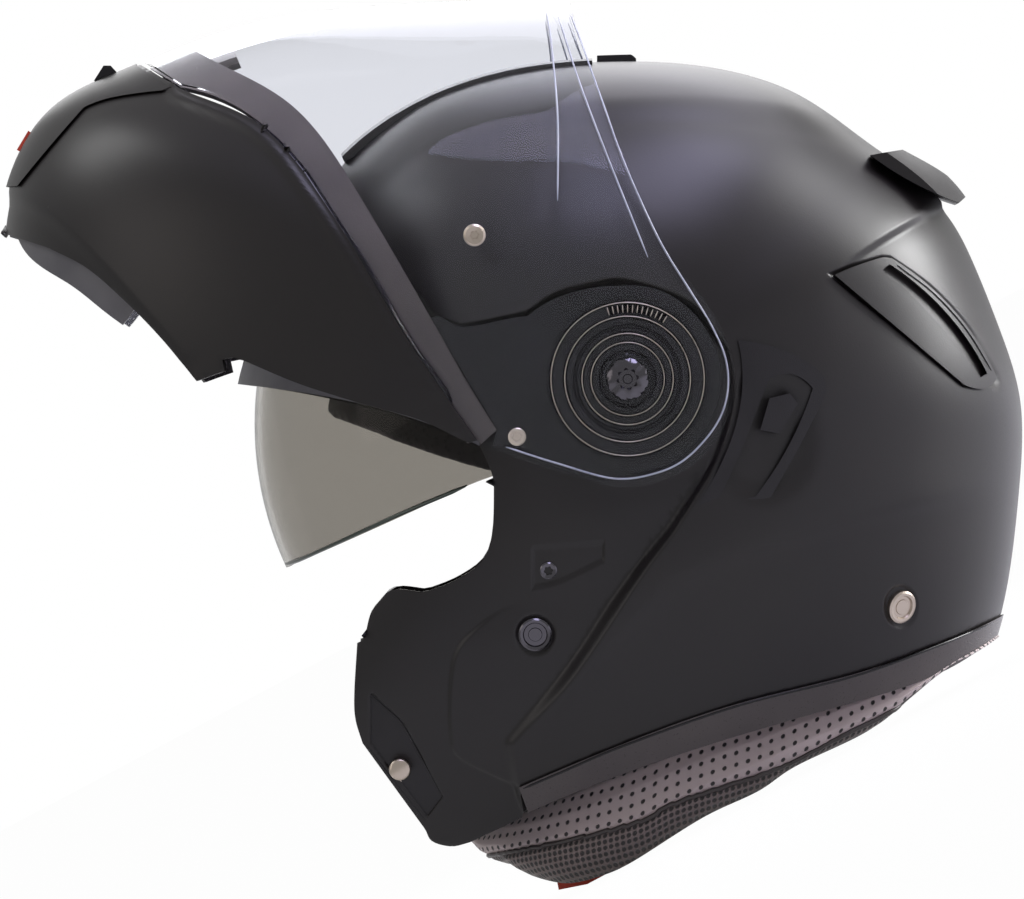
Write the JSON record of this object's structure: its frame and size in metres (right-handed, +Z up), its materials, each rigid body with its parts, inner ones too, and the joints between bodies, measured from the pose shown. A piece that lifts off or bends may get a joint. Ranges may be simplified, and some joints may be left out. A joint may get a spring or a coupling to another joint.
{
  "type": "modular motorcycle helmet",
  "caption": "Flip-up motorcycle helmet with a raised chin bar, clear visor, drop-down sun visor, vents, padded lining and chin strap.",
  "frame": {"origin": "on the chin bar's hinge axis, midway between the two side pivots", "axes": "+Z up as it stands level on its neck roll, face opening towards -X, left side towards -Y"},
  "size_m": [0.3128, 0.2592, 0.3418],
  "materials": {
    "shell_paint": "matte clear coat over charcoal on a moulded shell",
    "foam": "moulded polystyrene foam",
    "lining_fabric": "brushed mesh lining",
    "trim_rubber": "satin moulded rubber",
    "black_gloss": "gloss moulded plastic",
    "black_satin": "satin moulded plastic",
    "grey_plastic": "satin moulded plastic",
    "nickel_steel": "satin nickel",
    "dark_chrome": "black chrome",
    "red_plastic": "gloss moulded plastic",
    "webbing": "woven polyester",
    "clear_visor": "clear polycarbonate",
    "smoke_visor": "smoked polycarbonate"
  },
  "bodies": {
    "shell": {"outer_shell": "shell_paint", "eps_liner": "foam", "crown_pad": "lining_fabric", "cheek_pad_left": "lining_fabric", "cheek_pad_right": "lining_fabric", "neck_roll": "lining_fabric", "rim_trim": "trim_rubber", "brow_trim": "grey_plastic", "control_panel_left": "black_gloss", "control_panel_right": "black_gloss", "latch_plate_left": "black_satin", "latch_plate_right": "black_satin", "latch_pins": "nickel_steel", "strap_rivets": "dark_chrome", "rear_studs": "dark_chrome", "shell_screws": "dark_chrome", "pivot_pins": "nickel_steel", "pivot_knobs": "black_gloss", "sun_pivots": "black_satin", "top_vent_scoop": "shell_paint", "rear_spoiler": "shell_paint", "side_exhaust_left": "black_gloss", "side_exhaust_right": "black_gloss", "chin_strap_left": "webbing", "chin_strap_right": "webbing", "buckle_body": "nickel_steel"},
    "chin_bar_group": {"chin_bar": "shell_paint", "chin_front_panel": "shell_paint", "chin_liner": "grey_plastic", "chin_arm_left": "black_satin", "chin_arm_right": "black_satin", "ratchet_plates": "black_gloss", "visor_gasket": "trim_rubber", "breath_guard": "trim_rubber", "arm_screws": "dark_chrome"},
    "visor_group": {"visor": "clear_visor", "visor_pins": "dark_chrome"},
    "sun_visor_group": {"sun_visor": "smoke_visor"},
    "sun_slider_group": {"sun_slider": "black_satin"},
    "top_vent_group": {"top_vent_slider": "black_satin"},
    "chin_vent_group": {"chin_vent_tab": "black_satin"},
    "release_group": {"release_button": "red_plastic"},
    "latch_group": {"latch_slides": "nickel_steel"},
    "buckle_group": {"buckle_lever": "red_plastic"}
  },
  "joints": [
    {"name": "chin_bar_flip", "type": "hinge", "parent": "shell", "child": "chin_bar_group", "pos_m": [0, 0, 0], "axis": [0, -1, 0], "range_deg": [0, 74]},
    {"name": "visor_open", "type": "hinge", "parent": "chin_bar_group", "child": "visor_group", "pos_m": [0, 0, 0], "axis": [0, 1, 0], "range_deg": [0, 40]},
    {"name": "sun_visor_drop", "type": "hinge", "parent": "shell", "child": "sun_visor_group", "pos_m": [-0.01761, 0, -0.00858], "axis": [0, 1, 0], "range_deg": [0, 38]},
    {"name": "sun_slider_slide", "type": "slide", "parent": "shell", "child": "sun_slider_group", "axis": [-0.8302, -0.075, -0.5524], "range_m": [0, 0.016]},
    {"name": "top_vent_slide", "type": "slide", "parent": "shell", "child": "top_vent_group", "axis": [0.8829, 0, -0.4695], "range_m": [0, 0.008]},
    {"name": "chin_vent_slide", "type": "slide", "parent": "chin_bar_group", "child": "chin_vent_group", "axis": [0.9999, 0, -0.0152], "range_m": [0, 0.005]},
    {"name": "release_press", "type": "slide", "parent": "chin_bar_group", "child": "release_group", "axis": [0.5143, 0, -0.8576], "range_m": [0, 0.0018], "stiffness_N_per_m": 800},
    {"name": "latch_turn", "type": "hinge", "parent": "chin_bar_group", "child": "latch_group", "pos_m": [0, 0, 0], "axis": [0, -1, 0], "range_deg": [0, 1.2]},
    {"name": "buckle_lift", "type": "hinge", "parent": "shell", "child": "buckle_group", "pos_m": [-0.09484, -0.0176, -0.14498], "axis": [-0.9574, 0, 0.2889], "range_deg": [0, 60]}
  ],
  "couplings": [
    {"joint": "sun_slider_slide", "follows": "sun_visor_drop", "m_per_rad": 0.02412},
    {"joint": "latch_turn", "follows": "release_press", "rad_per_m": 11.63}
  ]
}
